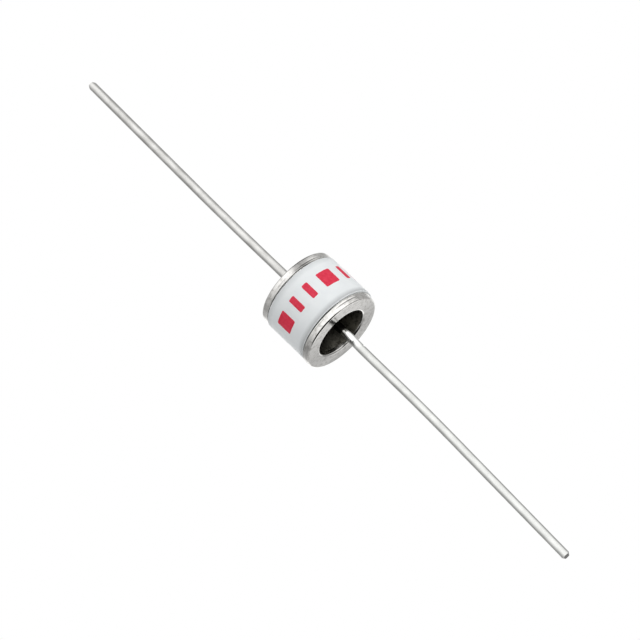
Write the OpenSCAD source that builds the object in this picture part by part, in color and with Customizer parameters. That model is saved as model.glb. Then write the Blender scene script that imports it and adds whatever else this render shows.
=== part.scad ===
// Gas discharge tube with axial wire leads.
// A ceramic tube is closed by two cup electrodes, brazed on, and a wire is welded into each cup.
// The tube lies along X with its centre at the origin. End A is at +X and end B at -X.

/* [Tube] */
// Outside diameter of the ceramic tube
ceramic_d = 8; // [6:0.1:12]
// Length of the body between the two end faces
body_len = 6.16; // [5:0.02:10]
// Wall of the ceramic tube
ceramic_wall = 0.75; // [0.5:0.05:1]
// Chamfer on the outer edges of the ceramic tube
ceramic_chamfer = 0.04; // [0.02:0.01:0.2]
// Thickness of each braze ring
braze_t = 0.1; // [0.05:0.01:0.25]
// How far the braze lies inside the ceramic's outside
braze_inset = 0.22; // [0.05:0.01:0.4]

/* [Electrodes] */
// Thickness of the rim, from the braze to the end face
rim_t = 0.68; // [0.68:0.02:1]
// How far the rim lies inside the ceramic's outside
rim_inset = 0.05; // [0:0.01:0.3]
// Rounding of the rim's edge at the end face
rim_round = 0.16; // [0.02:0.01:0.2]
// Rounding of the rim's edge at the braze
rim_back_round = 0.05; // [0.02:0.01:0.06]
// Width of the V groove around the rim
groove_w = 0.2; // [0.1:0.02:0.22]
// Depth of that groove
groove_t = 0.02; // [0.01:0.01:0.08]
// Distance from the end face to the middle of that groove
groove_at = 0.48; // [0.36:0.01:0.5]
// Gap between the electrode's cup and the bore of the ceramic
cup_clearance = 0.35; // [0.25:0.05:0.6]
// Wall of the cup where it leaves the rim
cup_wall = 0.35; // [0.2:0.05:0.5]
// Thickness of the cup's floor
cup_floor_t = 0.4; // [0.3:0.05:0.6]
// Taper of the cup, in degrees
cup_taper = 12; // [0:1:16]
// Rounding of the cup's mouth
cup_lip_round = 0.2; // [0.05:0.01:0.3]
// Fillet around the cup's floor
cup_floor_fillet = 0.3; // [0.1:0.05:0.4]
// Fillet between the outside of the cup and the rim
cup_root_fillet = 0.15; // [0.05:0.05:0.2]
// Rounding of the edge of the discharge face
face_round = 0.35; // [0.1:0.05:0.5]
// Gap between the two discharge faces
spark_gap = 1; // [0.4:0.1:1.5]
// Sideways shift of electrode A on its braze
electrode_a_shift = 0.16; // [0:0.01:0.24]

/* [Discharge surfaces] */
// Diameter of the coated dimples in the discharge faces
dimple_d = 0.6; // [0.3:0.05:0.8]
// Depth of those dimples
dimple_t = 0.12; // [0.05:0.01:0.2]
// Distance between neighbouring dimples
dimple_pitch = 0.9; // [0.85:0.05:1.5]
// Number of ignition strips on the bore
strip_count = 4; // [2:1:6]
// Width of an ignition strip
strip_w = 0.3; // [0.1:0.05:0.5]
// Thickness of an ignition strip
strip_t = 0.03; // [0.02:0.01:0.05]
// Length of an ignition strip
strip_len = 2.6; // [1:0.1:3]

/* [Leads] */
// Diameter of the wire
lead_d = 0.8; // [0.5:0.05:1.2]
// Length of wire outside the end face
lead_len = 28.4; // [20:0.1:40]
// Angle of the two bevels on the wire's cut end, in degrees
cut_angle = 50; // [20:5:60]
// Distance from the wire's axis to each bevel
cut_from = 0.22; // [0.1:0.01:0.24]
// Side of the wire that one bevel is on, in degrees from +Y towards +Z
cut_roll = 20; // [0:5:90]
// Width of the upset collar around the wire at its weld
collar_w = 0.3; // [0.1:0.05:0.4]
// Thickness of that collar
collar_t = 0.25; // [0.15:0.05:0.4]
// Rounding of the collar, and its fillet to the wire
collar_round = 0.1; // [0.02:0.01:0.12]
// Straight wire from the end face to its slight bend
bend_at = 9.6; // [4:0.1:14]
// Angle of the bend in lead A, in degrees
lead_a_bend = 2; // [0.5:0.1:4]
// Angle of the bend in lead B, in degrees
lead_b_bend = 1.1; // [0.5:0.1:4]
// Sideways shift of lead A at its weld
lead_a_shift = 0.02; // [0:0.01:0.15]
// Sideways shift of lead B at its weld
lead_b_shift = 0.09; // [0:0.01:0.15]

/* [Hidden] */
$fn = 96;

// Radii, from the outside in
ceramic_r = ceramic_d / 2;
bore_r = ceramic_r - ceramic_wall;
rim_r = ceramic_r - rim_inset;
braze_r = ceramic_r - braze_inset;
cup_outer_r = bore_r - cup_clearance;
cup_mouth_r = cup_outer_r - cup_wall;
lead_r = lead_d / 2;

// Stations along X at end A, from the end face inwards
face_x = body_len / 2;
groove_x = face_x - groove_at;
rim_back_x = face_x - rim_t;
ceramic_end_x = rim_back_x - braze_t;
discharge_x = spark_gap / 2;
floor_x = discharge_x + cup_floor_t;
bend_x = face_x + bend_at;

// The cup narrows from its mouth to its floor, and outside from the rim to the discharge face
cup_slope = tan(cup_taper);
cup_floor_r = cup_mouth_r - (face_x - floor_x) * cup_slope;
discharge_r = cup_outer_r - (rim_back_x - discharge_x) * cup_slope;

// Part of the discharge face that is flat, and the dimples that fit on it
flat_r = discharge_r - face_round;
dimple_rows = ceil(flat_r / dimple_pitch);
row_step = dimple_pitch * sin(60);
dimples = [
    for (row = [-dimple_rows : dimple_rows], column = [-dimple_rows : dimple_rows])
        let (place = [(column + row / 2) * dimple_pitch, row * row_step])
            if (norm(place) + dimple_d / 2 < flat_r) place
];

// The braze's outer edge is nearly a half round, and a narrow collar has less rounding
braze_round = 0.45 * braze_t;
collar_edge = min(collar_round, 0.45 * collar_w);

// Largest turn between neighbouring points of a rounded corner
arc_step = 15;

function unit(v) = v / norm(v);
function turned_by(v, angle) = [v.x * cos(angle) - v.y * sin(angle), v.x * sin(angle) + v.y * cos(angle)];
function before(list, i) = list[(i + len(list) - 1) % len(list)];
function after(list, i) = list[(i + 1) % len(list)];

// Points of the arc of radius r that rounds corner i of an outline
function corner_arc(points, i, r) =
    let (
        back = unit(before(points, i) - points[i]),
        ahead = unit(after(points, i) - points[i]),
        half = acos(back * ahead) / 2,
        centre = points[i] + unit(back + ahead) * r / sin(half),
        first = points[i] + back * r / tan(half) - centre,
        sweep = (180 - 2 * half) * sign(cross(ahead, back)),
        steps = ceil(abs(sweep) / arc_step)
    )
    [for (k = [0 : steps]) centre + turned_by(first, sweep * k / steps)];

// Outline with its corners rounded, each by its own radius, where 0 leaves a corner sharp
function rounded(points, radii) =
    [for (i = [0 : len(points) - 1]) each radii[i] > 0 ? corner_arc(points, i, radii[i]) : [points[i]]];

// Turns an outline of (radius, station) points about X
module turned() {
    rotate([0, 90, 0]) rotate_extrude() children();
}

// Turns what is modelled for end A round to end B
module at_end_b() {
    rotate([0, 0, 180]) children();
}

module ceramic_tube() {
    color("whitesmoke") turned() polygon([
        [bore_r, -ceramic_end_x],
        [ceramic_r - ceramic_chamfer, -ceramic_end_x],
        [ceramic_r, -ceramic_end_x + ceramic_chamfer],
        [ceramic_r, ceramic_end_x - ceramic_chamfer],
        [ceramic_r - ceramic_chamfer, ceramic_end_x],
        [bore_r, ceramic_end_x]
    ]);
}

module braze_ring() {
    color("silver") turned() polygon(rounded(
        [
            [bore_r, ceramic_end_x],
            [braze_r, ceramic_end_x],
            [braze_r, rim_back_x],
            [bore_r, rim_back_x]
        ],
        [0, braze_round, braze_round, 0]
    ));
}

// Half section of the electrode: a grooved rim, and a hollow, tapered cup that reaches into the tube
module electrode_section() {
    polygon(rounded(
        [
            [0, discharge_x],
            [discharge_r, discharge_x],
            [cup_outer_r, rim_back_x],
            [rim_r, rim_back_x],
            [rim_r, groove_x - groove_w / 2],
            [rim_r - groove_t, groove_x],
            [rim_r, groove_x + groove_w / 2],
            [rim_r, face_x],
            [cup_mouth_r, face_x],
            [cup_floor_r, floor_x],
            [0, floor_x]
        ],
        [
            0,
            face_round,
            cup_root_fillet,
            rim_back_round,
            0,
            0,
            0,
            rim_round,
            cup_lip_round,
            cup_floor_fillet,
            0
        ]
    ));
}

// One disc of coating for each dimple in the discharge face
module emitter_coating() {
    color("dimgray") translate([discharge_x, 0, 0]) rotate([0, 90, 0])
        for (place = dimples) translate(place) cylinder(h = dimple_t, d = dimple_d);
}

module electrode() {
    color("lightgray") difference() {
        turned() electrode_section();
        emitter_coating();
    }
}

// Graphite lines drawn along the bore of the ceramic
module ignition_strips() {
    color("darkslategray") for (i = [0 : strip_count - 1])
        rotate([i * 360 / strip_count, 0, 0]) intersection() {
            translate([-strip_len / 2, 0, 0]) rotate([0, 90, 0]) difference() {
                cylinder(h = strip_len, r = bore_r);
                cylinder(h = strip_len, r = bore_r - strip_t);
            }
            translate([-strip_len / 2, -strip_w / 2, 0]) cube([strip_len, strip_w, bore_r]);
        }
}

// Block that ends on a plane through the origin, turned about Z, and cuts the wire there
module cutting_block(angle) {
    size = 2 * lead_d;
    rotate([0, 0, angle]) translate([0, -size / 2, -size / 2]) cube(size);
}

// Collar on the floor of the cup, and the straight wire up to the bend
module lead_root(mitre) {
    difference() {
        turned() polygon(rounded(
            [
                [0, floor_x],
                [lead_r + collar_w, floor_x],
                [lead_r + collar_w, floor_x + collar_t],
                [lead_r, floor_x + collar_t],
                [lead_r, bend_x + lead_r],
                [0, bend_x + lead_r]
            ],
            [0, 0, collar_edge, collar_edge, 0, 0]
        ));
        translate([bend_x, 0, 0]) cutting_block(-mitre);
    }
}

// Straight wire beyond the bend, along X from the origin, with its cut end bevelled on two sides
module lead_tail(mitre, roll) {
    tail_len = lead_len - bend_at;
    difference() {
        turned() polygon([[0, -lead_r], [lead_r, -lead_r], [lead_r, tail_len], [0, tail_len]]);
        cutting_block(180 + mitre);
        for (side = [roll, roll + 180])
            rotate([side, 0, 0]) translate([tail_len, cut_from, 0]) cutting_block(cut_angle);
    }
}

// Wire that turns towards -Y by the given angle at its bend
module lead(angle, roll) {
    color("gainsboro") {
        lead_root(angle / 2);
        translate([bend_x, 0, 0]) rotate([0, 0, -angle]) lead_tail(angle / 2, roll);
    }
}

// Moves a piece sideways, as it sits a little off the axis
module shifted(distance) {
    translate([0, distance, 0]) children();
}

ceramic_tube();
braze_ring();  // braze_ring_a
at_end_b() braze_ring();  // braze_ring_b
shifted(-electrode_a_shift) electrode();  // electrode_a
at_end_b() electrode();  // electrode_b
shifted(-electrode_a_shift) emitter_coating();  // emitter_coating_a
at_end_b() emitter_coating();  // emitter_coating_b
ignition_strips();
shifted(lead_a_shift) lead(lead_a_bend, cut_roll);  // lead_a
shifted(lead_b_shift) at_end_b() lead(lead_b_bend, 180 - cut_roll);  // lead_b
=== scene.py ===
"""Looks of a gas discharge tube with axial wire leads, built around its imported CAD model.

The tube lies along X with its centre at the origin. End A is at +X and end B at -X.
Sizes are in millimetres, as in the CAD source, and become metres where a mesh is made.
"""

import math

import bmesh
import bpy
from mathutils import Matrix, Vector, noise


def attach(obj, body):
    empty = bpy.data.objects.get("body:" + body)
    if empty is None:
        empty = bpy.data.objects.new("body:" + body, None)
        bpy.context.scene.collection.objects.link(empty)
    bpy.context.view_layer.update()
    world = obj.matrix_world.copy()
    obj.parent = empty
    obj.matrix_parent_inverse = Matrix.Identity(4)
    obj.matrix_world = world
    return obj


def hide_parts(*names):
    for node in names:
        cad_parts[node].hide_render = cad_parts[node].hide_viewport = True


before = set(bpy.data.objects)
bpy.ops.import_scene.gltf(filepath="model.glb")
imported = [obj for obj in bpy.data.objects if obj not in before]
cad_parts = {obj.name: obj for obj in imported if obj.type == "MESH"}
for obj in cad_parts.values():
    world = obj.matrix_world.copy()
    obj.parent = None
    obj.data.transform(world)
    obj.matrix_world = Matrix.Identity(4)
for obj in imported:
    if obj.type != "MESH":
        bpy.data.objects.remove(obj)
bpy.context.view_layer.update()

MM = 0.001

# Ceramic tube
CERAMIC_R = 4.0
BORE_R = 3.25
CERAMIC_END = 2.3
CERAMIC_CHAMFER = 0.04
CHAMFER_ROUND = 0.015

# Braze, whose edge waves and whose fill makes it stand out on the +Y side
BRAZE_R = 3.78
BRAZE_ROUND = 0.045
BRAZE_WAVE = 0.02
BRAZE_WAVE_RATE = 2.5
BRAZE_FILL = 0.08
BRAZE_FILL_OVER = (-0.35, -0.2)  # shares of the radius, towards +Y, where the fill starts and is full

# Electrode: radii, and stations along X from the middle of the tube
RIM_R = 3.95
RIM_BACK = 2.4
FACE = 3.08
GROOVE = 2.6
GROOVE_W = 0.2
GROOVE_T = 0.02
GROOVE_ROUND = 0.05
CUP_OUTER_R = 2.9
CUP_MOUTH_R = 2.55
CUP_TAPER = math.radians(12)
CUP_FLOOR = 0.9
DISCHARGE = 0.5
RIM_ROUND = 0.16
RIM_BACK_ROUND = 0.05
CUP_LIP_ROUND = 0.2
CUP_FLOOR_FILLET = 0.3
CUP_ROOT_FILLET = 0.15
DISCHARGE_ROUND = 0.35
DIMPLE_R = 0.3
DIMPLE_T = 0.12
DIMPLE_PITCH = 0.9
ELECTRODE_A_SHIFT = -0.16

# Bright metal in the cup's mouth, below its lip, down to where the painted shade of the cup begins
MOUTH_BRIGHT_DEPTH = 0.28
MOUTH_BRIGHT_OVER = (0.9, -0.1)  # where on Y it starts and has its full depth
SHADE_EDGE_RINGS_TO = 0.6  # depth of the last of the close rings that its edge follows
FLOOR_SLACK = 0.01

# Leads
WIRE_R = 0.4
WIRE_WAVE = 0.006
WIRE_WAVE_RATES = (0.8, 1.5)  # along the wire and round it
LEAD_LEN = 28.4
CUT_ANGLE = math.radians(50)
CUT_FROM = 0.22
CUT_ROLL = math.radians(20)
CUT_CLEAR = 0.3  # length without rings at the tip, longer than the bevels
CUT_FACING = 0.5  # least share along the wire of a cut face's normal
COLLAR_W = 0.3
COLLAR_T = 0.25
COLLAR_ROUND = 0.1
BEND_AT = 9.6
BEND_SPREAD = 8.0
LEAD_A_BEND = math.radians(2.0)
LEAD_B_BEND = math.radians(1.1)
LEAD_A_SHIFT = 0.02
LEAD_B_SHIFT = 0.09

# Root of lead A: a crook where it leaves the cup, and a nick where the welder's jaw ended
CROOK = 0.07
CROOK_W = 2.2
JAW_END = 5.35
NICK_T = 0.1
NICK_W = 0.08
NICK_AT = math.radians(20)
NICK_NARROWNESS = 8

# Solder smeared over that root, lightened as a painted highlight, with painted shade on its underside and on
# it inside the cup
SMEAR_T = 0.17
SMEAR_THINS = (FACE - 0.3, FACE + 1.4)  # stations where it starts to thin and has no more thickness
SMEAR_FADES = (JAW_END - 0.7, JAW_END)  # stations where its colour starts to fade and is gone
SMEAR_OVER = (-0.24, -0.12)  # where on Y it starts and is full
SMEAR_RAGGED = 0.06
LEAD_CUP_SHADE_FADES = (FACE - 0.05, FACE + 0.05)  # stations where the painted shade inside the cup starts to fade and is gone

# Plain code bars printed round the barrel: widths and gap in degrees
BAR_WIDTHS = (22, 9, 9, 22, 9, 13)
BAR_GAP = 14.5
BARS_START = -77.5
BAR_FROM = -1.05
BAR_TO = 0.55
BAR_CORNER = 0.14
BAR_RAGGED = 0.02
BAR_RAGGED_RATE = 9
BAR_RINGS = (0.25, 0.5, 0.75)
BAR_BRINK = 0.96  # share of the bar's size where its film starts to round off
INK_T = 0.008

# Fineness of the meshes, and how far apart the noises of two seeds lie
BODY_SIDES = 192
WIRE_SIDES = 48
DIMPLE_SIDES = 32
BACKDROP_SIDES = 64
ARC_STEP = math.radians(6)
CERAMIC_STEP = 0.3
SHADE_EDGE_STEP = 0.04
WIRE_STEP = 0.2
NICK_STEP = 0.04
BAR_STEP = 0.05
SEED_STEP = (17.3, 5.1, 9.7)

# Camera, in degrees, millimetres and pixels
CAMERA_AZIMUTH = 48.25
CAMERA_ELEVATION = 58.95
CAMERA_DISTANCE = 280
CAMERA_LENS = 181.6
CAMERA_SENSOR = 36
CLIP_NEAR = 10
CLIP_FAR = 10000
IMAGE_PX = 640
CENTRE_PX = (319.6, 309.7)

# Backdrop: a flat floor, a sweep around it and a dome above, with angles in radians
FLOOR_RINGS = (100, 300, 600)
SWEEP_R = 400
DOME_H = 600
DOME_TO = 1.4
BACKDROP_STEP = 0.1

# Light from the studio by height, as (sine of the height above the horizon, brightness)
SKY = (
    (-1, 2), (-0.96, 1.8), (-0.89, 0.92), (-0.8, 0.85), (-0.45, 0.55),
    (0, 0.7), (0.2, 0.9), (0.5, 1.25), (0.75, 1.55), (1, 1.65),
)
SKY_PEAK = 2

# What stands in that light, as (direction, cosine where it starts, cosine where it is full, brightness)
STUDIO = {
    "dark room": ((0.72, -0.5, 0.48), 0.57, 0.74, 0.02),
    "grey wall": ((-0.8, 0.5, 0.33), 0.85, 0.94, 0.3),
    "grey side": ((-0.35, 0.9, -0.25), 0.82, 0.97, 0.6),
    "grey corner": ((0.75, 0.62, 0.22), 0.8, 0.95, 0.45),
    "white table": ((0.88, 0.3, -0.36), 0.85, 0.96, 2.4),
    "white card": ((0.1, 0.62, -0.78), 0.95, 0.985, 1.8),
    "white floor": ((-0.37, 0.82, -0.4), 0.85, 0.97, 1.5),
    "grey floor": ((-0.37, -0.6, -0.7), 0.85, 0.97, 0.7),
}

# Colours, where a pair is dark and light
WHITE = (1, 1, 1)
ALUMINA = ((0.855, 0.885, 0.9), (0.91, 0.94, 0.945))
INK = ((0.72, 0.018, 0.055), (0.84, 0.05, 0.1))
EMITTER = ((0.2, 0.19, 0.18), (0.36, 0.35, 0.33))
GRAPHITE = ((0.03, 0.03, 0.033), (0.09, 0.09, 0.095))
# Solder's colour, lightened as a painted highlight
SOLDER_HIGHLIGHT = (0.85, 0.855, 0.84)
# Painted shade on the underside of the solder
SOLDER_UNDERSIDE_SHADE = (0.8, 0.8, 0.8)
# Painted shade on the lead's root inside the cup
LEAD_CUP_SHADE = (0.08, 0.08, 0.075)
# Painted shade on the ceramic's edge at +X
EDGE_PAINTED_SHADE = (0.35, 0.35, 0.34)

# Metals, as (dark colour, light colour, (least roughness, most roughness), depth of relief)
# Braze A is a darker copy of braze B, as painted shade in the crevice at end A
BRAZE_A_SHADED = ((0.6, 0.59, 0.57), (0.78, 0.77, 0.74), (0.2, 0.3), 0.003)
BRAZE_B = ((0.78, 0.77, 0.75), (0.93, 0.92, 0.9), (0.2, 0.3), 0.003)
PLATED = ((0.48, 0.47, 0.45), (0.67, 0.66, 0.64), (0.08, 0.17), 0.0015)
DULLED = ((0.55, 0.54, 0.52), (0.75, 0.74, 0.72), (0.1, 0.2), 0.0015)
# Near-black metal for the cup below its bright mouth: painted shade, with a random brownish tone
RECESS_SHADE = ((0.07, 0.066, 0.055), (0.24, 0.23, 0.195), (0.3, 0.45), 0.006)
CUT_WIRE = ((0.015, 0.0145, 0.014), (0.05, 0.048, 0.045), (0.3, 0.45), 0.004)
BRIGHT_TIN = ((0.52, 0.525, 0.51), (0.62, 0.625, 0.61), (0.12, 0.22), 0.003)
DULL_TIN = ((0.46, 0.455, 0.44), (0.6, 0.595, 0.58), (0.16, 0.3), 0.003)

# Darkening, as an axis and (station, grey) stops along it: painted shade, but for the band on electrode B
# Painted shade on braze A, darkest about Y -1.4, for the dark crevice at end A
BRAZE_A_CREVICE_SHADE = ("Y", ((-2.4, 0.43), (-1.4, 0.26), (-1, 0.4), (-0.7, 0.9), (0.5, 1)))
# Painted shade on braze B towards -Y, for the dark crevice at end B
BRAZE_B_CREVICE_SHADE = ("Y", ((-2.6, 0.68), (-1.6, 1)))
# Painted shade on electrode A, darker towards the bottom
PLATED_LOWER_SHADE = (
    "Z", ((-3.8, 0.5), (-3.4, 0.6), (-2.9, 0.74), (-2, 0.68), (-0.8, 0.66), (1.2, 0.8), (2.6, 1)),
)
# Electrode B darker in a band across Y, from about -0.25 to 0.6
DULLED_DARK_BAND = ("Y", ((-1, 0.89), (-0.25, 0.37), (0.6, 0.37), (1.7, 1)))
# Painted shade, darker deeper in the cup
RECESS_SHADE_DEEPENING = ("X", ((1.2, 0.4), (2.7, 1)))
# Painted shade on the ceramic near both rims
CERAMIC_RIM_SHADE = ("X", ((-2.3, 0.8), (-1.7, 1), (1.7, 1), (2.125, 0.62), (2.18, 0.64), (2.254, 1)))
EDGE_PAINTED_SHADE_FADES = (-0.9, -0.1)  # where on Y the painted shade on the ceramic's edge starts to fade and is gone


def spread(start, end, step):
    """Evenly spaced values from start to end, no further apart than step."""
    count = max(1, math.ceil(abs(end - start) / step))
    return [start + (end - start) * i / count for i in range(count + 1)]


def ramp(value, start, full):
    """Share from 0 to 1 as a value goes from start to full."""
    return min(max((value - start) / (full - start), 0), 1)


def wave(seed, x, y, z=0):
    """Smooth noise between about -1 and 1, which each seed takes from another place."""
    return noise.noise(Vector([at + seed * step for at, step in zip((x, y, z), SEED_STEP)]))


def sideways(shift):
    """Move along Y."""
    return Matrix.Translation((0, shift * MM, 0))


def corner_arc(before, corner, after, radius):
    """Points of the arc that rounds one corner of an outline."""
    back = (Vector(before) - Vector(corner)).normalized()
    ahead = (Vector(after) - Vector(corner)).normalized()
    half = back.angle(ahead) / 2
    centre = Vector(corner) + (back + ahead).normalized() * radius / math.sin(half)
    first = Vector(corner) + back * radius / math.tan(half) - centre
    turn = math.pi - 2 * half
    side = 1 if ahead.x * back.y - ahead.y * back.x > 0 else -1
    return [centre + Matrix.Rotation(side * a, 2) @ first for a in spread(0, turn, ARC_STEP)]


def rounded(corners):
    """Outline of (radius, station) points from (radius, station, rounding) corners."""
    outline = []
    for i, (r, x, rounding) in enumerate(corners):
        if rounding:
            before = corners[i - 1][:2]
            after = corners[(i + 1) % len(corners)][:2]
            outline += corner_arc(before, (r, x), after, rounding)
        else:
            outline.append(Vector((r, x)))
    return outline


def skin(bm, rings, closed=False):
    """Faces from each ring of vertices to the next. A ring may be a single vertex."""
    sides = max(len(ring) for ring in rings)
    pairs = list(zip(rings, rings[1:]))
    if closed:
        pairs.append((rings[-1], rings[0]))
    for one, two in pairs:
        for i in range(sides):
            j = (i + 1) % sides
            around = [one[i % len(one)], one[j % len(one)], two[j % len(two)], two[i % len(two)]]
            bm.faces.new(list(dict.fromkeys(around)))
    bmesh.ops.recalc_face_normals(bm, faces=bm.faces)


def lathe(outline, sides, closed=False, warp=None):
    """Mesh turned about X. warp moves a point, given as (radius, station, angle), in or out."""
    bm = bmesh.new()
    rings = []
    for r, x in outline:
        if r == 0:
            rings.append([bm.verts.new((x * MM, 0, 0))])
            continue
        ring = []
        for k in range(sides):
            angle = 2 * math.pi * k / sides
            out = r + (warp(r, x, angle) if warp else 0)
            ring.append(bm.verts.new((x * MM, out * MM * math.cos(angle), out * MM * math.sin(angle))))
        rings.append(ring)
    skin(bm, rings, closed)
    return bm


def place_mesh(name, bm):
    """Object in the scene made from a bmesh."""
    mesh = bpy.data.meshes.new(name)
    bm.to_mesh(mesh)
    bm.free()
    made = bpy.data.objects.new(name, mesh)
    bpy.context.scene.collection.objects.link(made)
    return made


def piece(name, bm, materials, node=None, sharp=35):
    """Piece that rides on the tube's one body, smooth but for edges sharper than an angle in degrees."""
    made = place_mesh(name, bm)
    made.data.shade_smooth()
    made.data.set_sharp_from_angle(angle=math.radians(sharp))
    for material in materials:
        made.data.materials.append(material)
    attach(made, "root")
    if node:
        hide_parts(node)
    return made


class Nodes:
    """Short calls that add nodes to a tree. They take numbers or the outputs of other nodes."""

    def __init__(self, tree):
        self.tree = tree

    def node(self, kind, **settings):
        """New node with the given settings."""
        made = self.tree.nodes.new("ShaderNode" + kind)
        for key, value in settings.items():
            setattr(made, key, value)
        return made

    def put(self, value, socket):
        """Sets a socket to a number, or links an output to it."""
        if isinstance(value, (int, float)):
            socket.default_value = value
        else:
            self.tree.links.new(value, socket)

    def calc(self, operation, *values):
        """Result of a math operation."""
        made = self.node("Math", operation=operation)
        for value, socket in zip(values, made.inputs):
            self.put(value, socket)
        return made.outputs[0]

    def split(self, vector):
        """X, Y and Z of a vector."""
        separate = self.node("SeparateXYZ")
        self.put(vector, separate.inputs[0])
        return separate.outputs

    def between(self, value, low, high, span=(0.3, 0.7), smooth=False):
        """Number that runs from low to high as a value crosses the span."""
        ranged = self.node("MapRange", interpolation_type="SMOOTHSTEP" if smooth else "LINEAR")
        numbers = {"Value": value, "From Min": span[0], "From Max": span[1], "To Min": low, "To Max": high}
        for socket, number in numbers.items():
            self.put(number, ranged.inputs[socket])
        return ranged.outputs["Result"]

    def colours(self, factor, stops):
        """Colour ramp from (position, colour) stops."""
        made = self.node("ValToRGB")
        elements = made.color_ramp.elements
        while len(elements) < len(stops):
            elements.new(0.5)
        for element, (position, colour) in zip(elements, stops):
            element.position = position
            element.color = (*colour, 1)
        self.put(factor, made.inputs["Fac"])
        return made.outputs["Color"]

    def greys(self, value, reach, stops):
        """Grey from (value, grey) stops, for a value between -reach and reach."""
        position = self.between(value, 0, 1, span=(-reach, reach))
        shades = [((at + reach) / (2 * reach), (grey, grey, grey)) for at, grey in stops]
        return self.colours(position, shades)


class Shader(Nodes):
    """A material with a principled shader, and short calls for its textures."""

    def __init__(self, name, **values):
        self.material = bpy.data.materials.new(name)
        self.material.use_nodes = True
        super().__init__(self.material.node_tree)
        self.bsdf = self.tree.nodes["Principled BSDF"]
        for socket, value in values.items():
            self.bsdf.inputs[socket.replace("_", " ")].default_value = value

    def set(self, socket, source):
        """Links an output to the principled shader."""
        self.put(source, self.bsdf.inputs[socket])

    def place(self, stretch=(1, 1, 1)):
        """The object's own coordinates in millimetres, stretched along each axis."""
        mapping = self.node("Mapping")
        mapping.inputs["Scale"].default_value = [s / MM for s in stretch]
        self.put(self.node("TexCoord").outputs["Object"], mapping.inputs["Vector"])
        return mapping.outputs["Vector"]

    def turned_place(self):
        """Radius and station in millimetres, so that a noise of it runs in lathe marks round X."""
        x, y, z = self.split(self.place())
        squares = self.calc("ADD", self.calc("POWER", y, 2), self.calc("POWER", z, 2))
        joined = self.node("CombineXYZ")
        self.put(self.calc("SQRT", squares), joined.inputs["X"])
        self.put(x, joined.inputs["Y"])
        return joined.outputs[0]

    def noise(self, place, scale, detail=4, roughness=0.55):
        """Noise between 0 and 1."""
        texture = self.node("TexNoise")
        texture.inputs["Scale"].default_value = scale
        texture.inputs["Detail"].default_value = detail
        texture.inputs["Roughness"].default_value = roughness
        self.put(place, texture.inputs["Vector"])
        return texture.outputs["Fac"]

    def mix(self, factor, one, two, blend="MIX"):
        """Colour that goes from one to two by a factor."""
        mixed = self.node("Mix", data_type="RGBA", blend_type=blend)
        self.put(factor, mixed.inputs["Factor"])
        colour_sockets = [s for s in mixed.inputs if s.type == "RGBA"]
        for colour, socket in zip((one, two), colour_sockets):
            self.put(colour, socket)
        return [s for s in mixed.outputs if s.type == "RGBA"][0]

    def darkened(self, colour, shade):
        """Colour times a shade."""
        return self.mix(1, colour, shade, blend="MULTIPLY")

    def darkened_along(self, colour, darkening, reach):
        """Colour darkened by grey stops along an axis, out to reach on both sides."""
        axis, stops = darkening
        return self.darkened(colour, self.greys(self.split(self.place())[axis], reach, stops))

    def bump(self, height, depth):
        """Relief of the given depth in millimetres, laid over any relief already there."""
        relief = self.node("Bump")
        relief.inputs["Strength"].default_value = 1
        relief.inputs["Distance"].default_value = depth * MM
        self.put(height, relief.inputs["Height"])
        normal = self.bsdf.inputs["Normal"]
        if normal.is_linked:
            self.put(normal.links[0].from_socket, relief.inputs["Normal"])
        self.put(relief.outputs["Normal"], normal)


def ceramic_material():
    """Fired alumina: bluish white, satin, faintly clouded and grained, with painted shade where it nears the
    rims and on the -Y side of its edge at +X.
    """
    shader = Shader("alumina", Specular_IOR_Level=0.4, Coat_Weight=0.08, Coat_Roughness=0.3)
    dark, light = ALUMINA
    cloud = shader.noise(shader.place(), scale=0.9, detail=5)
    white = shader.colours(cloud, [(0.3, dark), (0.7, light)])
    # Painted shade near the rims
    rim_shaded_white = shader.darkened_along(white, CERAMIC_RIM_SHADE, CERAMIC_END)
    place = shader.split(shader.place())
    # Painted shade on the -Y side of the chamfer at +X
    at_edge = shader.between(place["X"], 0, 1, span=(CERAMIC_END - CERAMIC_CHAMFER, CERAMIC_END))
    on_shaded_side = shader.between(place["Y"], 1, 0, span=EDGE_PAINTED_SHADE_FADES)
    edge_shade_share = shader.calc("MULTIPLY", at_edge, on_shaded_side)
    edge = shader.colours(edge_shade_share, [(0, WHITE), (1, EDGE_PAINTED_SHADE)])
    shader.set("Base Color", shader.darkened(rim_shaded_white, edge))
    grain = shader.noise(shader.place(), scale=14, detail=3)
    shader.set("Roughness", shader.between(grain, 0.42, 0.6))
    shader.bump(grain, depth=0.004)
    return shader.material


def turned_metal(name, metal, darkening=None):
    """Metal with fine lathe marks and a slight stain, and maybe darkened along an axis."""
    dark, light, rough, depth = metal
    shader = Shader(name, Metallic=1.0)
    marks = shader.noise(shader.turned_place(), scale=22, detail=3, roughness=0.7)
    stain = shader.noise(shader.place(), scale=2.6, detail=8, roughness=0.65)
    colour = shader.colours(stain, [(0.36, dark), (0.52, light)])
    if darkening:
        colour = shader.darkened_along(colour, darkening, RIM_R)
    shader.set("Base Color", colour)
    shader.set("Roughness", shader.between(marks, *rough))
    shader.bump(marks, depth)
    shader.bump(shader.noise(shader.place(), scale=6), depth)
    return shader.material


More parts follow.
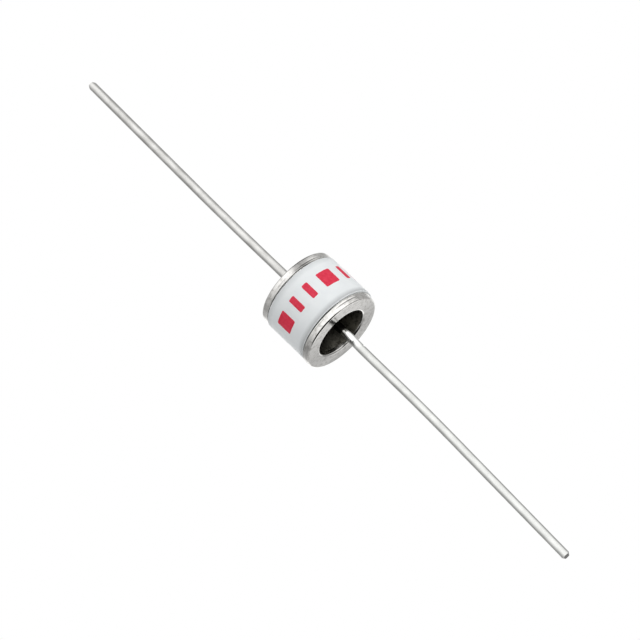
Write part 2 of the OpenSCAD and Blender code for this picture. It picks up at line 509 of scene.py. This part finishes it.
def smear(shader, tin, patches):
    """Lays solder over the root of a wire, with painted shade inside the cup and on its underside, and gives
    the colour of tin and of solder lightened as a painted highlight.
    """
    place = shader.split(shader.place())
    ragged = shader.calc("ADD", place["X"], shader.between(patches, -SMEAR_RAGGED, SMEAR_RAGGED))
    out_of_cup = shader.between(ragged, 0, 1, span=LEAD_CUP_SHADE_FADES)
    topside = shader.between(place["Y"], 0, 1, span=SMEAR_OVER)
    # Solder lightened as a painted highlight, with painted shade inside the cup and on its underside
    painted_solder = shader.darkened(
        shader.colours(out_of_cup, [(0, LEAD_CUP_SHADE), (1, SOLDER_HIGHLIGHT)]),
        shader.colours(topside, [(0, SOLDER_UNDERSIDE_SHADE), (1, WHITE)]),
    )
    thickness = shader.between(place["X"], 1, 0, span=SMEAR_THINS, smooth=True)
    shader.bump(shader.calc("MULTIPLY", thickness, topside), SMEAR_T)
    return shader.mix(shader.between(ragged, 1, 0, span=SMEAR_FADES), tin, painted_solder)


def wire_material(name, metal, smeared=False):
    """Tinned copper wire with drawing lines along it and dull patches, and maybe solder on its root, with
    painted shade and a painted highlight.
    """
    dark, light, rough, depth = metal
    shader = Shader(name, Metallic=1.0)
    lines = shader.noise(shader.place((0.25, 7, 7)), scale=1, roughness=0.6)
    patches = shader.noise(shader.place((0.6, 1, 1)), scale=1.5, detail=6)
    colour = shader.colours(patches, [(0.35, dark), (0.65, light)])
    shader.set("Roughness", shader.between(patches, *rough))
    shader.bump(lines, depth)
    if smeared:
        colour = smear(shader, colour, patches)
    shader.set("Base Color", colour)
    return shader.material


def ink_material():
    """Red printing ink, a little thin in places."""
    shader = Shader("red_ink", Specular_IOR_Level=0.25)
    dark, light = INK
    density = shader.noise(shader.place(), scale=3, detail=5)
    shader.set("Base Color", shader.colours(density, [(0.3, dark), (0.75, light)]))
    shader.set("Roughness", shader.between(shader.noise(shader.place(), scale=18), 0.4, 0.55))
    return shader.material


def powder_material(name, powder):
    """Dull pressed powder, for the coatings inside the tube."""
    shader = Shader(name)
    dark, light = powder
    grain = shader.noise(shader.place(), scale=12, detail=6)
    shader.set("Base Color", shader.colours(grain, [(0.3, dark), (0.7, light)]))
    shader.set("Roughness", shader.between(grain, 0.75, 0.95))
    shader.bump(grain, depth=0.01)
    return shader.material


def ceramic_tube(material):
    """Tube with chamfered ends."""
    edge = CERAMIC_END - CERAMIC_CHAMFER
    side = [(CERAMIC_R, x, 0) for x in spread(-edge, edge, CERAMIC_STEP)]
    outline = rounded([
        (BORE_R, -CERAMIC_END, 0),
        (CERAMIC_R - CERAMIC_CHAMFER, -CERAMIC_END, CHAMFER_ROUND),
        *side,
        (CERAMIC_R - CERAMIC_CHAMFER, CERAMIC_END, CHAMFER_ROUND),
        (BORE_R, CERAMIC_END, 0),
    ])
    piece("tube_ceramic", lathe(outline, BODY_SIDES, closed=True), [material], "ceramic_tube")


def braze_ring(end, turn, seed, material):
    """Ring of braze whose outer edge swells and sinks a little, as it froze."""
    outline = rounded([
        (BORE_R, CERAMIC_END, 0),
        (BRAZE_R, CERAMIC_END, BRAZE_ROUND),
        (BRAZE_R, RIM_BACK, BRAZE_ROUND),
        (BORE_R, RIM_BACK, 0),
    ])

    def swell(r, x, angle):
        if r < (BORE_R + BRAZE_R) / 2:
            return 0
        height = (turn @ Vector((0, math.cos(angle), 0))).y
        fill = BRAZE_FILL * ramp(height, *BRAZE_FILL_OVER)
        rate = BRAZE_WAVE_RATE
        return fill + BRAZE_WAVE * wave(seed, rate * math.cos(angle), rate * math.sin(angle))

    bm = lathe(outline, BODY_SIDES, closed=True, warp=swell)
    bm.transform(turn)
    piece("braze_" + end, bm, [material], "braze_ring_" + end)


def electrode_outline():
    """Half section from the discharge face to the cup's floor, and the radius of that face's flat part."""
    slope = math.tan(CUP_TAPER)
    discharge_r = CUP_OUTER_R - (RIM_BACK - DISCHARGE) * slope
    floor_r = CUP_MOUTH_R - (FACE - CUP_FLOOR) * slope
    depths = spread(CUP_LIP_ROUND, SHADE_EDGE_RINGS_TO, SHADE_EDGE_STEP)
    wall = [(CUP_MOUTH_R - depth * slope, FACE - depth, 0) for depth in depths]
    outline = rounded([
        (0, DISCHARGE, 0),
        (discharge_r, DISCHARGE, DISCHARGE_ROUND),
        (CUP_OUTER_R, RIM_BACK, CUP_ROOT_FILLET),
        (RIM_R, RIM_BACK, RIM_BACK_ROUND),
        (RIM_R, GROOVE - GROOVE_W / 2, GROOVE_ROUND),
        (RIM_R - GROOVE_T, GROOVE, GROOVE_ROUND),
        (RIM_R, GROOVE + GROOVE_W / 2, GROOVE_ROUND),
        (RIM_R, FACE, RIM_ROUND),
        (CUP_MOUTH_R, FACE, CUP_LIP_ROUND),
        *wall,
        (floor_r, CUP_FLOOR, CUP_FLOOR_FILLET),
        (0, CUP_FLOOR, 0),
    ])
    return outline, discharge_r - DISCHARGE_ROUND


def dimple_cutter(flat_r):
    """One mesh of all the plugs that cut the dimples in the discharge face."""
    bm = bmesh.new()
    turn = Matrix.Rotation(math.pi / 2, 4, "Y")
    rows = math.ceil(flat_r / DIMPLE_PITCH)
    for row in range(-rows, rows + 1):
        for column in range(-rows, rows + 1):
            y = (column + row / 2) * DIMPLE_PITCH
            z = row * DIMPLE_PITCH * math.sin(math.radians(60))
            if math.hypot(y, z) + DIMPLE_R >= flat_r:
                continue
            place = Matrix.Translation(Vector((DISCHARGE, z, -y)) * MM)
            bmesh.ops.create_cone(
                bm, cap_ends=True, segments=DIMPLE_SIDES, radius1=DIMPLE_R * MM, radius2=DIMPLE_R * MM,
                depth=2 * DIMPLE_T * MM, matrix=place @ turn,
            )
    return place_mesh("dimple_cutter", bm)


def in_recess_shade(point):
    """Whether a point of the electrode lies in its cup, deeper than the bright mouth reaches, where the
    painted shade goes.
    """
    in_cup = math.hypot(point.y, point.z) < CUP_MOUTH_R and point.x > CUP_FLOOR - FLOOR_SLACK
    return in_cup and point.x < FACE - CUP_LIP_ROUND - MOUTH_BRIGHT_DEPTH * ramp(point.y, *MOUTH_BRIGHT_OVER)


def electrode(end, turn, metal, recess):
    """Cup electrode, bright outside and with painted shade in its cup, with the dimples cut in its discharge
    face.
    """
    outline, flat_r = electrode_outline()
    bm = lathe(outline, BODY_SIDES)
    for face in bm.faces:
        # Painted shade in the cup as the second material
        face.material_index = int(in_recess_shade(face.calc_center_median() / MM))
    bm.transform(turn)
    made = piece("electrode_cup_" + end, bm, [metal, recess], "electrode_" + end)
    cutter = dimple_cutter(flat_r)
    cutter.data.transform(turn)
    cut = made.modifiers.new("dimples", "BOOLEAN")
    cut.object = cutter
    cut.solver = "EXACT"
    bpy.context.view_layer.update()
    depsgraph = bpy.context.evaluated_depsgraph_get()
    cut_mesh = bpy.data.meshes.new_from_object(made.evaluated_get(depsgraph))
    made.modifiers.clear()
    made.data = cut_mesh
    bpy.data.objects.remove(cutter)


def cut_end(bm, tip, roll):
    """Bevels two sides of the wire's end, as side cutters leave it, and gives the end the second material."""
    for side in (roll, roll + math.pi):
        turn = Matrix.Rotation(side, 3, "X")
        facing = turn @ Vector((math.cos(CUT_ANGLE), math.sin(CUT_ANGLE), 0))
        edge = turn @ Vector((tip, CUT_FROM, 0)) * MM
        everything = bm.verts[:] + bm.edges[:] + bm.faces[:]
        bmesh.ops.bisect_plane(bm, geom=everything, plane_co=edge, plane_no=facing, clear_outer=True)
        bmesh.ops.holes_fill(bm, edges=[e for e in bm.edges if e.is_boundary])
    bmesh.ops.recalc_face_normals(bm, faces=bm.faces)
    for face in bm.faces:
        at_tip = face.calc_center_median().x > (tip - WIRE_R) * MM
        if at_tip and face.normal.x > CUT_FACING:
            face.material_index = 1


def crook_wire(bm, height):
    """Moves the wire a little towards +Y where it leaves the cup."""
    for vert in bm.verts:
        vert.co.y += height * MM * math.exp(-((vert.co.x / MM - FACE) / CROOK_W) ** 2)


def bend_wire(bm, angle):
    """Bends a straight wire along X towards -Y, over a length of BEND_SPREAD about its bend."""
    start = FACE + BEND_AT - BEND_SPREAD / 2
    radius = BEND_SPREAD / angle
    for vert in bm.verts:
        x, y, z = vert.co / MM
        if x < start:
            continue
        turned = min((x - start) / BEND_SPREAD, 1) * angle
        past = max(x - start - BEND_SPREAD, 0)
        centre_x = start + radius * math.sin(turned) + past * math.cos(turned)
        centre_y = -radius * (1 - math.cos(turned)) - past * math.sin(turned)
        vert.co = Vector((centre_x + y * math.sin(turned), centre_y + y * math.cos(turned), z)) * MM


def lead(end, turn, angle, roll, seed, materials, nick_t=0, crook=0):
    """Wire with a collar at its foot, a slight bend and a cut end, and maybe a nick and a crook."""
    tip = FACE + LEAD_LEN
    nick_reach = 2 * NICK_W
    stations = spread(CUP_FLOOR + COLLAR_T + WIRE_STEP, JAW_END - WIRE_STEP, WIRE_STEP)
    stations += spread(JAW_END - nick_reach, JAW_END + nick_reach, NICK_STEP)
    stations += spread(JAW_END + WIRE_STEP, tip - CUT_CLEAR, WIRE_STEP)
    wire = [(WIRE_R, x, 0) for x in stations]
    outline = rounded([
        (0, CUP_FLOOR, 0),
        (WIRE_R + COLLAR_W, CUP_FLOOR, 0),
        (WIRE_R + COLLAR_W, CUP_FLOOR + COLLAR_T, COLLAR_ROUND),
        (WIRE_R, CUP_FLOOR + COLLAR_T, COLLAR_ROUND),
        *wire,
        (WIRE_R, tip, 0),
        (0, tip, 0),
    ])

    def unevenness(r, x, around):
        along_rate, round_rate = WIRE_WAVE_RATES
        drawn = wave(seed, along_rate * x, round_rate * math.cos(around), round_rate * math.sin(around))
        nick_along = math.exp(-((x - JAW_END) / NICK_W) ** 2)
        nick_round = max(0, math.cos(around - NICK_AT)) ** NICK_NARROWNESS
        return WIRE_WAVE * drawn - nick_t * nick_along * nick_round

    bm = lathe(outline, WIRE_SIDES, warp=unevenness)
    cut_end(bm, tip, roll)
    crook_wire(bm, crook)
    bend_wire(bm, angle)
    bm.transform(turn)
    piece("wire_lead_" + end, bm, materials, "lead_" + end, sharp=20)


def bar_outline(width):
    """Points round a bar with rounded corners, as (station, distance round the barrel) from its middle."""
    half_x = (BAR_TO - BAR_FROM) / 2
    half_w = width / 2
    signs = ((1, 1), (-1, 1), (-1, -1), (1, -1))
    loop = rounded([(a * half_x, b * half_w, BAR_CORNER) for a, b in signs])
    dense = []
    for one, two in zip(loop, loop[1:] + loop[:1]):
        steps = max(1, math.ceil((two - one).length / BAR_STEP))
        dense += [one.lerp(two, k / steps) for k in range(steps)]
    return dense


def print_bar(name, middle, width, seed, material):
    """Thin closed film of ink on the barrel, with a slightly ragged edge."""
    outline = bar_outline(width)
    station = (BAR_FROM + BAR_TO) / 2
    top = CERAMIC_R + INK_T
    under = CERAMIC_R - INK_T
    layers = [(share, top) for share in (*BAR_RINGS, BAR_BRINK)]
    layers.append((1, top - INK_T / 2))
    layers += [(share, under) for share in (1, *reversed(BAR_RINGS))]
    bm = bmesh.new()

    def on_barrel(point, radius):
        angle = middle + point.y / CERAMIC_R
        spot = Vector((station + point.x, radius * math.sin(angle), radius * math.cos(angle)))
        return bm.verts.new(spot * MM)

    rings = [[on_barrel(Vector((0, 0)), top)]]
    rate = BAR_RAGGED_RATE
    for share, radius in layers:
        ragged = [p * share * (1 + BAR_RAGGED * wave(seed, rate * p.x, rate * p.y)) for p in outline]
        rings.append([on_barrel(p, radius) for p in ragged])
    rings.append([on_barrel(Vector((0, 0)), under)])
    skin(bm, rings)
    piece(name, bm, [material], sharp=60)


def print_bars(material):
    """The row of bars round the barrel."""
    start = BARS_START
    for i, width in enumerate(BAR_WIDTHS):
        middle = math.radians(start + width / 2)
        print_bar(f"code_bar_{i + 1}", middle, math.radians(width) * CERAMIC_R, i, material)
        start += width + BAR_GAP


def camera():
    """Long lens that looks down on the tube, with its centre at CENTRE_PX in the picture."""
    az = math.radians(CAMERA_AZIMUTH)
    el = math.radians(CAMERA_ELEVATION)
    back = Vector((math.sin(az) * math.cos(el), -math.cos(az) * math.cos(el), math.sin(el)))
    right = Vector((math.cos(az), math.sin(az), 0))
    up = back.cross(right)
    mm_per_px = CAMERA_DISTANCE * CAMERA_SENSOR / (CAMERA_LENS * IMAGE_PX)
    off_x = IMAGE_PX / 2 - CENTRE_PX[0]
    off_y = IMAGE_PX / 2 - CENTRE_PX[1]
    aim = (right * off_x - up * off_y) * mm_per_px
    data = bpy.data.cameras.new("camera")
    data.lens = CAMERA_LENS
    data.sensor_width = CAMERA_SENSOR
    data.clip_start = CLIP_NEAR * MM
    data.clip_end = CLIP_FAR * MM
    made = bpy.data.objects.new("camera", data)
    made.location = (aim + back * CAMERA_DISTANCE) * MM
    made.rotation_mode = "QUATERNION"
    made.rotation_quaternion = (-back).to_track_quat("-Z", "Y")
    bpy.context.scene.collection.objects.link(made)
    bpy.context.scene.camera = made


def white_light():
    """Material that shines an even white."""
    material = bpy.data.materials.new("backdrop_white")
    material.use_nodes = True
    material.node_tree.nodes.clear()
    nodes = Nodes(material.node_tree)
    light = nodes.node("Emission")
    light.inputs["Color"].default_value = (*WHITE, 1)
    nodes.put(light.outputs[0], nodes.node("OutputMaterial").inputs["Surface"])
    return material


def backdrop():
    """White floor under the tube that sweeps up into a dome, lit evenly and seen by the camera alone."""
    floor_z = -CERAMIC_R
    floor_r = FLOOR_RINGS[-1]
    sweep_top = floor_z + SWEEP_R
    outline = [(r, floor_z) for r in (0, *FLOOR_RINGS)]
    for a in spread(BACKDROP_STEP, math.pi / 2, BACKDROP_STEP):
        outline.append((floor_r + SWEEP_R * math.sin(a), sweep_top - SWEEP_R * math.cos(a)))
    for a in spread(BACKDROP_STEP, DOME_TO, BACKDROP_STEP):
        outline.append(((floor_r + SWEEP_R) * math.cos(a), sweep_top + DOME_H * math.sin(a)))
    outline.append((0, sweep_top + DOME_H))
    bm = lathe(outline, BACKDROP_SIDES)
    bm.transform(Matrix.Rotation(-math.pi / 2, 4, "Y"))
    made = place_mesh("backdrop", bm)
    made.data.materials.append(white_light())
    made.visible_diffuse = False
    made.visible_glossy = False
    made.visible_transmission = False
    made.visible_shadow = False


def studio_light():
    """Soft light from all round, brightest overhead, with what stands in it."""
    world = bpy.data.worlds.new("studio")
    bpy.context.scene.world = world
    world.use_nodes = True
    nodes = Nodes(world.node_tree)
    way = nodes.node("TexCoord").outputs["Generated"]
    levels = [(sine, brightness / SKY_PEAK) for sine, brightness in SKY]
    light = nodes.greys(nodes.split(way)["Z"], 1, levels)
    for direction, start, full, brightness in STUDIO.values():
        towards = nodes.node("VectorMath", operation="DOT_PRODUCT")
        towards.inputs[1].default_value = Vector(direction).normalized()
        nodes.put(way, towards.inputs[0])
        shade = nodes.between(towards.outputs["Value"], 1, brightness, span=(start, full), smooth=True)
        shaded = nodes.node("VectorMath", operation="SCALE")
        nodes.put(light, shaded.inputs[0])
        nodes.put(shade, shaded.inputs["Scale"])
        light = shaded.outputs[0]
    background = world.node_tree.nodes["Background"]
    background.inputs["Strength"].default_value = SKY_PEAK
    nodes.put(light, background.inputs["Color"])


AT_A = Matrix.Identity(4)
AT_B = Matrix.Rotation(math.pi, 4, "Z")

ceramic_tube(ceramic_material())

braze_a = turned_metal("braze_alloy_a", BRAZE_A_SHADED, BRAZE_A_CREVICE_SHADE)
braze_b = turned_metal("braze_alloy_b", BRAZE_B, BRAZE_B_CREVICE_SHADE)
braze_ring("a", AT_A, seed=1, material=braze_a)
braze_ring("b", AT_B, seed=2, material=braze_b)

plated = turned_metal("plated_metal", PLATED, PLATED_LOWER_SHADE)
dulled = turned_metal("dulled_metal", DULLED, DULLED_DARK_BAND)
recess_shade_metal = turned_metal("recess_shade_metal", RECESS_SHADE, RECESS_SHADE_DEEPENING)
electrode("a", sideways(ELECTRODE_A_SHIFT), plated, recess_shade_metal)
electrode("b", AT_B, dulled, recess_shade_metal)

bright_tin = wire_material("bright_tin", BRIGHT_TIN, smeared=True)
dull_tin = wire_material("dull_tin", DULL_TIN)
cut_wire = turned_metal("cut_wire", CUT_WIRE)
lead(
    "a", sideways(LEAD_A_SHIFT), LEAD_A_BEND, CUT_ROLL, seed=3, materials=(bright_tin, cut_wire),
    nick_t=NICK_T, crook=CROOK,
)
lead(
    "b", sideways(LEAD_B_SHIFT) @ AT_B, LEAD_B_BEND, math.pi - CUT_ROLL, seed=4,
    materials=(dull_tin, cut_wire),
)

print_bars(ink_material())

emitter = powder_material("emitter_powder", EMITTER)
graphite = powder_material("graphite", GRAPHITE)
inside = {"emitter_coating_a": emitter, "emitter_coating_b": emitter, "ignition_strips": graphite}
for node, material in inside.items():
    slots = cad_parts[node].data.materials
    slots.clear()
    slots.append(material)

camera()
backdrop()
studio_light()
bpy.context.scene.view_settings.view_transform = "Standard"
